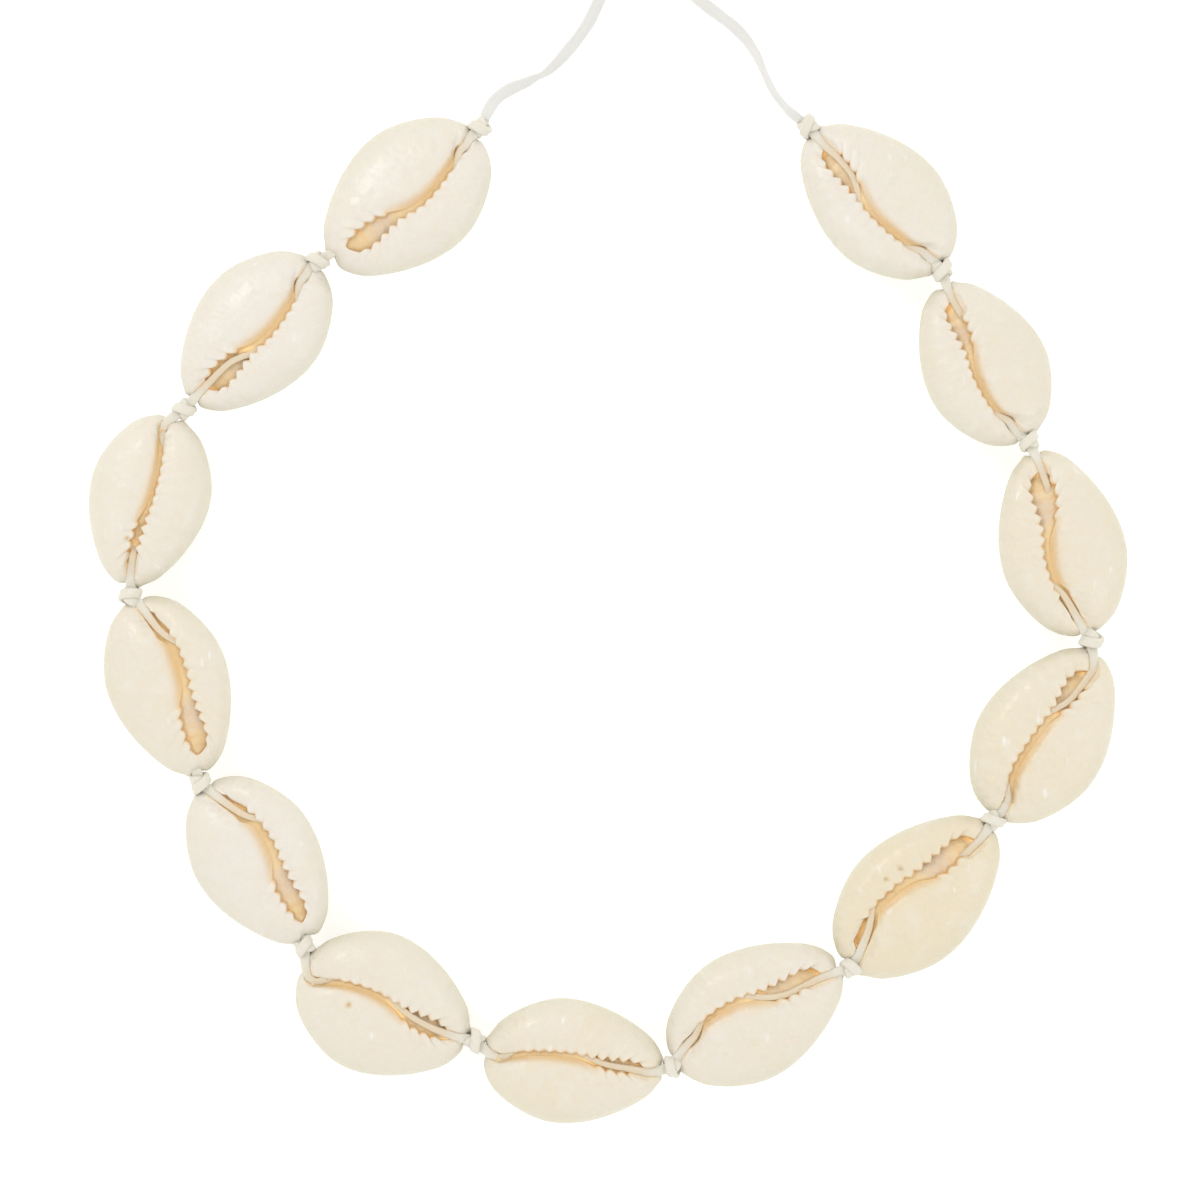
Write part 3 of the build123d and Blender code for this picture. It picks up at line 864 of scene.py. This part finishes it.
def lay_inside(skin):
    cowrie, gap = skin.cowrie, skin.gap
    cracked = cowrie.dive <= LATE_DIVE
    snug = skin.at_back * (1 - cracked)
    filled = smooth_step(cowrie.rise + 0.1, cowrie.rise - 0.1, along) * (1 - cowrie.closed)
    tan = np.exp(-(((along + 0.30) / 0.26) ** 4)) * smooth_step(1.1, 2.1, gap) * (1 - 0.5 * filled)
    # painted light: the floor in crevices beside the cord is painted warmer and lighter
    crevice = np.maximum(0.8 * snug, filled * smooth_step(2.1, 1.2, gap))
    crack = smooth_step(0.48, 0.56, along) * cracked
    floor_masks = {"stain": 1 - 0.55 * snug, "tan": tan, "crack": crack, "beside": crevice}
    hollow = HOLLOW * (1.05 - np.abs(both(spread_out)) ** 8)
    sink = np.where(outer_side, 1, 1 - 0.35 * skin.at_back)
    nothing = np.zeros(2 * SIDE)
    open_height = skin.dome(skin.rim, nothing, nothing)
    rim_height, _ = skin.grooved(skin.rim, open_height)
    for under, floor_ring in zip(UNDERSIDE[::-1], SHELL_FLOOR[::-1]):
        share, drop = np.where(outer_side, np.array(under)[:, None], np.array(floor_ring)[:, None])
        smooth = smooth_step(0.08, 0.32, drop)
        place = skin.rim + (skin.plain_rim - skin.rim) * smooth[:, None]
        place[:, 0] += share * (hollow + np.where(outer_side, 0, skin.plain_rim[::-1, 0] - place[:, 0]))
        fall = drop * sink + (SLOPE_FALL * share - drop * sink) * skin.slope
        fall = fall + TOOTH_RISE * tooth * skin.crest * smooth
        height = np.minimum(open_height - fall, rim_height - drop * 0.1)
        # painted shade, with the shell's own brown, in the dips between the teeth
        dip = between_teeth * np.exp(-((drop / 0.3) ** 2)) * 0.8
        inside = smooth_step(0.05, 0.3, drop) * (1 - 0.65 * snug)
        skin.lay(place, height, inside=inside, dip=dip, **floor_masks)


for skin in skins:
    lay_inside(skin)
print("inside of shell 1:", len(skins[0].rings), "rings")

# %% [markdown]
# The base is what the photograph shows most of. Its first rings follow the rim closely, so that they can
# carry the teeth, the stain and the groove of the cord. The others spread out to the margin, where they
# come closer together again, because the skin bends most there.

# %% The base
NEAR_RINGS = [0, 0.05, 0.12, 0.20, 0.30, 0.42, 0.56, 0.75, 1.0, 1.3, 1.65, 2.05]
FAR_RINGS = np.sin(np.linspace(0, math.pi / 2, 17))[1:]


def lay_base(skin):
    stain_width = np.where(outer_side, 0.13, 0.20 + skin.slope * skin.slope_width * 0.48)
    for ring in NEAR_RINGS:
        from_rim = ring * skin.crest
        points = skin.rim + skin.outward * from_rim[:, None]
        share = from_rim / skin.spoke
        height, aside = skin.grooved(points, skin.dome(points, share, from_rim))
        # painted shade, with the shell's own brown, in the dips between the teeth
        dip = between_teeth * np.exp(-((from_rim / 0.26) ** 2)) * np.where(outer_side, 0.8, 0.6)
        stain = np.exp(-((from_rim / stain_width) ** 2)) * (0.7 + 0.3 * skin.slope)
        # beside the cord: painted light on the glaze, and thin stain lines that are painted shade
        beside = smooth_step(CORD_ROOM + 0.30, CORD_ROOM, aside)
        stain = np.maximum(stain, beside * np.where(outer_side, 0.12, 0.42))
        skin.lay(points, height, beside=beside, stain=stain, dip=dip, edge=share**4)
    start = NEAR_RINGS[-1] * skin.crest / skin.spoke
    for ring in FAR_RINGS:
        share = start + (1 - start) * ring
        points = skin.rim + (skin.edge - skin.rim) * share[:, None]
        height, _ = skin.grooved(points, skin.dome(points, np.minimum(share, 1), share * skin.spoke))
        skin.lay(points, height, edge=share**4)


for skin in skins:
    lay_base(skin)
print("base of shell 1:", np.ptp(skins[0].rings[-1], axis=0).round(1)[:2], "mm across its margin")

# %% [markdown]
# The back is a rounded bowl that becomes narrower towards the table. Its rings keep the two notches at
# first and soon lose them. The lowest part of a cowrie's back lies a little behind its middle.

# %% The back
BACK_RINGS = np.linspace(0, math.pi / 2, 19)[1:-1]
LOWEST_PLACE = 0.12


def lay_back(skin):
    plain_edge = outline(skin.cowrie, False)
    lowest = np.array([0, LOWEST_PLACE * skin.length])
    for turn in BACK_RINGS:
        down = math.sin(turn)
        round_edge = skin.edge + (plain_edge - skin.edge) * smooth_step(0.12, 0.45, down)
        points = lowest + (round_edge - lowest) * math.cos(turn)
        fall = MARGIN_HEIGHT * down ** np.where(round_edge[:, 1] < 0, 1.15, 1.0)
        height, _ = skin.grooved(points, MARGIN_HEIGHT - fall)
        skin.lay(points, height, back=smooth_step(0.35, 0.9, down), edge=math.cos(turn) ** 2)


for skin in skins:
    lay_back(skin)
print("skin of shell 1:", len(skins[0].rings), "rings of", 2 * SIDE, "points")

# %% [markdown]
# Neighbouring rings are joined by four-sided faces. Inside, the two halves of the innermost ring are
# joined face by face, and under the back one pole closes the skin. A little slow unevenness, different for
# each shell, takes away the look of a turned part, and a few shells get the pits of the real ones.

# %% Small faults of the shells
PITS = {
    3: [(-0.95, -4.6, 0.22)],
    6: [(-1.1, 3.6, 0.30)],
    9: [(4.0, 1.4, 0.24), (3.8, -0.6, 0.26)],
}
PIT_DEPTH = 0.2
WAVES = 6  # sines in the unevenness
STEADY_HEIGHT = 1.5  # below it a shell stays even, so that it rests on the table


def uneven(points, number, size):
    """Slow waves over a shell, from a few sines that differ from shell to shell."""
    draw = np.random.default_rng(100 + number)
    total = np.zeros(points.shape[:-1])
    for _ in range(WAVES):
        direction = draw.normal(size=3) * size
        total += np.sin(points @ direction + draw.uniform(0, 6.28))
    return total / WAVES


print(sum(len(pits) for pits in PITS.values()), "pits on", len(PITS), "shells")


# %% Faces and masks
def band_faces(count, around, start=0):
    """Faces between every two neighbouring rings of points."""
    faces = []
    for ring in range(count - 1):
        a = start + ring * around
        b = a + around
        faces += [(a + i, a + (i + 1) % around, b + (i + 1) % around, b + i) for i in range(around)]
    return faces


def add_mask(piece, name, values):
    """Keeps one value for each point of a piece, for its material to read."""
    layer = piece.data.attributes.new(name, "FLOAT", "POINT")
    layer.data.foreach_set("value", np.asarray(values, np.float32))


print("three rings of four points have", len(band_faces(3, 4)), "faces between them")


# %% Weave the shells
def weave(skin):
    number = skin.cowrie.number
    rings = np.stack(skin.rings)
    count, around = rings.shape[:2]
    outside = np.array([not mask["inside"].any() for mask in skin.masks])
    moved = (rings[..., 2] > STEADY_HEIGHT) * outside[:, None]
    waves = 0.11 * uneven(rings, number, 0.45) + 0.022 * uneven(rings, 50 + number, 1.6)
    rings[..., 2] += waves * moved
    pit = np.zeros((count, around))
    for x, y, size in PITS.get(number, []):
        away = np.hypot(rings[..., 0] - x, rings[..., 1] - y)
        mark = np.exp(-((away / size) ** 2)) * (rings[..., 2] > MARGIN_HEIGHT)
        rings[..., 2] -= PIT_DEPTH * mark
        pit = np.maximum(pit, mark)
    pole = [*rings[-1].mean(axis=0)[:2], 0.03]
    points = np.vstack([rings.reshape(-1, 3), pole])
    last = (count - 1) * around
    faces = band_faces(count, around)
    faces += [(last + i, last + (i + 1) % around, count * around) for i in range(around)]
    faces += [(i + 1, i, around - 1 - i, around - 2 - i) for i in range(SIDE - 1)]
    piece = add_mesh(f"cowrie_{number:02d}", skin.cowrie.to_row(points), faces, SHELL_GLAZE)
    values = {name: np.append([mask[name] for mask in skin.masks], 0) for name in MASKS}
    values["back"][-1] = 1
    values["along"] = np.append(np.tile(along, count), 0)
    values["pit"] = np.append(pit, 0)
    values["tone"] = np.full(len(points), skin.cowrie.tone)
    for name, value in values.items():
        add_mask(piece, name, value)
    return piece


for skin in skins:
    piece = weave(skin)
    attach(piece, "root")
    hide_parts(f"shell_{skin.cowrie.number:02d}")
print("last shell has", len(piece.data.polygons), "faces")

# %% [markdown]
# ## The cord's finish
#
# The cord is flat, soft and off-white: fine yarn, slightly waxed. Where it has been handled and knotted
# between the shells it is creamier than in the clean tails. Its weave is too small to model, but it takes
# the shine off, so it is a bump that runs aslant along the cord, with a broken grain over it. Where the
# cord lies within a slit, the warm light in there is painted into its colour.

# %% Cord yarn
SLIT_LIT = shade(239, 219, 186)


def cord_finish(name, pale, deep):
    finish = Finish(name)
    run = finish.attribute("run")
    across = finish.attribute("across")
    yarn = ((run * 16 + across * 3).sine() * (run * 16 - across * 3).sine()) * 0.5 + 0.5
    grain = finish.noise(2600)
    cloud = finish.noise(240)
    colour = finish.mix((yarn * 0.3 + grain * 0.5 + cloud * 0.6 - 0.15).clamped(), deep, pale)
    # painted light: the warm light inside a slit, painted into the cord
    colour = finish.mix(finish.attribute("within") * 0.85, colour, SLIT_LIT)
    return finish.surface(
        Base_Color=colour,
        Roughness=0.72 + grain * 0.15,
        Normal=finish.bump(yarn + grain * 0.6, 0.35, 0.00008),
        Sheen_Weight=0.2,
        Sheen_Roughness=0.5,
        Subsurface_Weight=0.15,
        Subsurface_Radius=(1.0, 0.8, 0.6),
        Subsurface_Scale=0.0006,
    )


KNOTTED_YARN = cord_finish("knotted_yarn", shade(247, 242, 229), shade(235, 228, 209))
TAIL_YARN = cord_finish("tail_yarn", shade(243, 242, 238), shade(231, 229, 222))
print("cord yarn:", len(TAIL_YARN.node_tree.nodes), "nodes")

# %% [markdown]
# ## Sweeping a flat cord
#
# A curve with a bevel can only be round or follow one profile, and its twist is hard to steer. Here a
# flattened ring is set on every point of the cord's line, with its flat side facing a chosen way. That
# leaves the twist of the tails, the squeeze in the shells and the turns of the knots in our hands.

# %% Sweep a ring along a line
CORD_WIDTH = 1.22
CORD_THICKNESS = 0.62
RING_POINTS = 16
UP = np.array([0.0, 0.0, 1.0])


def unit_rows(vectors):
    return vectors / np.linalg.norm(vectors, axis=1)[:, None]


def swept_ring(points, facing, width, thickness):
    """Rings of a flat cord: facing is the way that its flat side looks, at each point or all along."""
    tangent = unit_rows(np.gradient(points, axis=0))
    facing = unit_rows(facing - (facing * tangent).sum(1)[:, None] * tangent)
    aside = np.cross(tangent, facing)
    angles = np.arange(RING_POINTS) / RING_POINTS * 2 * math.pi
    flat_x = np.sign(np.cos(angles)) * np.abs(np.cos(angles)) ** 0.75 / 2
    flat_y = np.sign(np.sin(angles)) * np.abs(np.sin(angles)) ** 0.85 / 2
    flat_y = flat_y * (1 - 0.22 * np.exp(-((flat_x / 0.13) ** 2)))
    width = np.broadcast_to(width, len(points))[:, None, None]
    thickness = np.broadcast_to(thickness, len(points))[:, None, None]
    rings = points[:, None] + aside[:, None] * flat_x[None, :, None] * width
    rings = rings + facing[:, None] * flat_y[None, :, None] * thickness
    return rings, run_along(points), flat_x * 2


def cord_mesh(name, sweeps, yarn):
    """One mesh of several swept stretches of cord."""
    all_points, faces, run_values, across_values = [], [], [], []
    start = 0
    for points, facing, width, thickness in sweeps:
        rings, run, across = swept_ring(points, facing, width, thickness)
        last = start + (len(rings) - 1) * RING_POINTS
        faces += [(a, d, c, b) for a, b, c, d in band_faces(len(rings), RING_POINTS, start)]
        faces.append(tuple(range(start, start + RING_POINTS)))
        faces.append(tuple(reversed(range(last, last + RING_POINTS))))
        all_points.append(rings.reshape(-1, 3))
        run_values.append(np.repeat(run, RING_POINTS))
        across_values.append(np.tile(across, len(rings)))
        start = last + RING_POINTS
    piece = add_mesh(name, np.vstack(all_points), faces, yarn)
    add_mask(piece, "run", np.concatenate(run_values))
    add_mask(piece, "across", np.concatenate(across_values))
    return piece


print("a ring of the cord is", CORD_WIDTH, "by", CORD_THICKNESS, "mm")

# %% [markdown]
# ## The knotted cord
#
# Between every two shells the cord makes an overhand knot, pulled tight. Seen from one side its two turns
# lie side by side, and from the other they cross. A true knot's curve is hard to pull tight in code. So
# the straight cord is the core, and one more stretch goes round it twice: it swings to and fro along the
# cord as it winds, so that it crosses over itself on one side, and both its ends are tucked in under that
# crossing. Each knot is turned and squeezed a little differently.

# %% The two turns of a knot
TURN_RADIUS = 0.78  # of the middle of the strand
TURN_SWING = 0.54  # to and fro along the cord
CROSSING_LIFT = 0.20
STRAND_WIDTH = 1.14
STRAND_THICKNESS = 0.72


def knot_turns(place, heading, roll):
    """The two turns of one knot, as a sweep round the cord."""
    ahead = np.array([*heading_vector(heading), 0])
    aside = np.cross(UP, ahead)
    share = np.linspace(0, 1, 96)
    half_turn = math.pi * (1 + 2 * share)
    swing = np.sin(half_turn)
    shift = TURN_SWING * swing * (1.5 - 0.5 * swing**2)
    tuck = smooth_step(0.06, 0, share) + smooth_step(0.94, 1, share)
    radius = TURN_RADIUS + CROSSING_LIFT * np.cos(half_turn) * (1 - 0.35 * swing**2) - 0.25 * tuck
    angle = math.radians(roll) + 2 * half_turn
    radial = np.cos(angle)[:, None] * aside + np.sin(angle)[:, None] * UP
    size = 1 + 0.06 * math.sin(roll)
    points = place + (radial * radius[:, None] + ahead * shift[:, None]) * size
    return points, radial + ahead * 0.01, STRAND_WIDTH, STRAND_THICKNESS


trial = knot_turns(np.zeros(3), 0, 0)[0]
print("a knot is", np.ptp(trial, axis=0).round(1), "mm between the middles of its strands")

# %% The cord through the shells, with its knots
STUB_LENGTH = 1.0
STUB_DIP = 12
LEFT_HEADING = 62
RIGHT_HEADING = 140
KNOT_ROLLS = [60, 120, 85, 145, 50, 100, 70, 130, 55, 95, 140, 75, 115, 65]
SQUEEZED_WIDTH = 0.74  # of the cord deep in the shells
SQUEEZE_START = 3.6  # how far from a knot the cord is already narrow


def stub_end(knot, heading):
    """Where the stub of an end knot stops and its tail starts."""
    flat = heading_vector(heading) * STUB_LENGTH * math.cos(math.radians(STUB_DIP))
    return np.array([*(knot + flat), CORD_HEIGHT - STUB_LENGTH * math.sin(math.radians(STUB_DIP))])


def threaded_route():
    route = [stub_end(knots[0], LEFT_HEADING), [*knots[0], CORD_HEIGHT]]
    for cowrie in cowries:
        route += [tuple(p) for p in cowrie.to_row(cowrie.way)]
        route.append([*cowrie.next_knot, CORD_HEIGHT])
    route.append(stub_end(knots[-1], RIGHT_HEADING))
    return route


line = smooth_line(threaded_route())
to_knot = np.linalg.norm(line[:, None, :2] - np.array(knots)[None], axis=2).min(axis=1)
squeezed = SQUEEZED_WIDTH + (CORD_WIDTH - SQUEEZED_WIDTH) * np.exp(-((to_knot / SQUEEZE_START) ** 2))
sweeps = [(line, UP, squeezed, CORD_THICKNESS)]
headings = [cowries[0].heading] + [c.heading for c in cowries]
for knot, heading, roll in zip(knots, headings, KNOT_ROLLS):
    sweeps.append(knot_turns(np.array([*knot, CORD_HEIGHT]), heading, roll))
threaded = cord_mesh("threaded_cord", sweeps, KNOTTED_YARN)
# how far the cord lies within a slit, for its painted warm light
within = np.zeros(len(threaded.data.vertices))
within[: len(line) * RING_POINTS] = np.repeat(smooth_step(1.6, 5, to_knot), RING_POINTS)
add_mask(threaded, "within", within)
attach(threaded, "root")
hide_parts("knotted_cord")
print("threaded cord:", len(threaded.data.polygons), "faces,", len(knots), "knots")

# %% [markdown]
# ## The two tails
#
# From the last knots the cord drops to the table and runs up and out of the picture. These are the free
# ends of the cord, and the length of each is printed. A flat cord shows its broad side where it
# lies and its narrow side where it turns over, so the way it faces is given at a few shares of its length.

# %% Where the tails go
LEFT_ROUTE = [
    stub_end(knots[0], LEFT_HEADING),
    (-13.35, 57.55, 7.35),
    (-11.6, 59.25, 6.5),
    (-9.0, 60.45, 5.1),
    (-6.6, 61.95, 3.6),
    (-4.2, 64.9, 1.9),
    (-2.3, 67.6, 0.9),
    (-1.05, 70.4, 0.62),
    (0.1, 73.2, 0.62),
    (1.6, 76.4, 0.8),
    (3.25, 80.0, 1.3),
    (3.25, 83.3, 1.3),
]
RIGHT_ROUTE = [
    stub_end(knots[-1], RIGHT_HEADING),
    (20.3, 56.8, 7.3),
    (18.7, 58.9, 6.2),
    (17.7, 61.4, 4.6),
    (16.7, 64.2, 2.9),
    (14.8, 67.0, 1.4),
    (12.1, 69.1, 0.75),
    (9.6, 71.0, 0.62),
    (7.7, 73.6, 0.62),
    (6.0, 76.8, 0.8),
    (4.75, 80.0, 1.3),
    (4.75, 83.3, 1.3),
]
# Degrees that the flat side leans away from straight up, at shares of the tail's length
LEFT_TURN = [(0, 0), (0.16, 5), (0.25, 45), (0.30, 80), (0.35, 48), (0.44, 8), (0.6, 0), (1, 0)]
RIGHT_TURN = [(0, 20), (0.08, 50), (0.28, 55), (0.36, 30), (0.48, 5), (0.7, 0), (1, 0)]
print("the tails have", len(LEFT_ROUTE), "and", len(RIGHT_ROUTE), "control points")

# %% Tails
TAIL_WIDTH = 1.4
TAIL_THICKNESS = 0.5


def tail(name, route, turns):
    line = smooth_line(route)
    share = np.linspace(0, 1, len(line))
    lean = np.radians(np.interp(share, *zip(*turns)))
    tangent = unit_rows(np.gradient(line, axis=0))
    aside = unit_rows(np.cross(tangent, UP))
    above = np.cross(aside, tangent)
    facing = above * np.cos(lean)[:, None] + aside * np.sin(lean)[:, None]
    width = TAIL_WIDTH * (0.8 + 0.2 * smooth_step(0, 0.04, share) + 0.03 * np.sin(share * 47))
    piece = cord_mesh(name, [(line, facing, width, TAIL_THICKNESS)], TAIL_YARN)
    length = run_along(line)[-1]
    print(name, "is", round(length, 1), "mm long")
    return piece, line, length


tails = []
for name, node, route, turns in (
    ("left_tail", "tail_left", LEFT_ROUTE, LEFT_TURN),
    ("right_tail", "tail_right", RIGHT_ROUTE, RIGHT_TURN),
):
    piece, line, length = tail(name, route, turns)
    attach(piece, "root")
    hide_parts(node)
    tails.append((piece, line, length, route[0]))

# %% [markdown]
# ## The wound knot that closes the choker
#
# It lies beyond the picture's edge. Both tails go into it side by side, and a few turns of the same cord
# are wound round them. The winding is one helix, drawn in at both ends.

# %% Closing knot
CLOSURE_MOUTH = (4.0, 83.3)
CLOSURE_RADIUS = 2.0
CLOSURE_LENGTH = 4.4
CLOSURE_TURNS = 4
CORE_WIDTH = 2.9
CORE_INSET = 0.15


def closing_knot():
    x, y = CLOSURE_MOUTH
    share = np.linspace(0, 1, 200)
    angle = share * CLOSURE_TURNS * 2 * math.pi + 0.6
    radial = np.stack([np.cos(angle), np.zeros_like(angle), np.sin(angle)], axis=1)
    drawn_in = 0.35 * smooth_step(0.94, 1, share) + 0.35 * smooth_step(0.06, 0, share)
    radius = (CLOSURE_RADIUS - CORD_THICKNESS / 2) * (1 - drawn_in)
    points = np.array([x, y + CORD_WIDTH / 2, CLOSURE_RADIUS]) + radial * radius[:, None]
    points[:, 1] += share * (CLOSURE_LENGTH - CORD_WIDTH)
    core_ends = (y + CORE_INSET, y + CLOSURE_LENGTH - CORE_INSET)
    core = np.linspace(*[(x, end, CLOSURE_RADIUS) for end in core_ends], 12)
    winding = (points, radial, CORD_WIDTH * 0.98, CORD_THICKNESS)
    return cord_mesh("wound_knot", [winding, (core, UP, CORE_WIDTH, CORE_WIDTH)], TAIL_YARN)


wound = closing_knot()
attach(wound, "root")
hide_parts("closure_knot")
for (piece, line, length, start), with_pieces in zip(tails, ([wound], [])):
    length * MM
    line * MM
print("wound knot:", len(wound.data.polygons), "faces")

# %% [markdown]
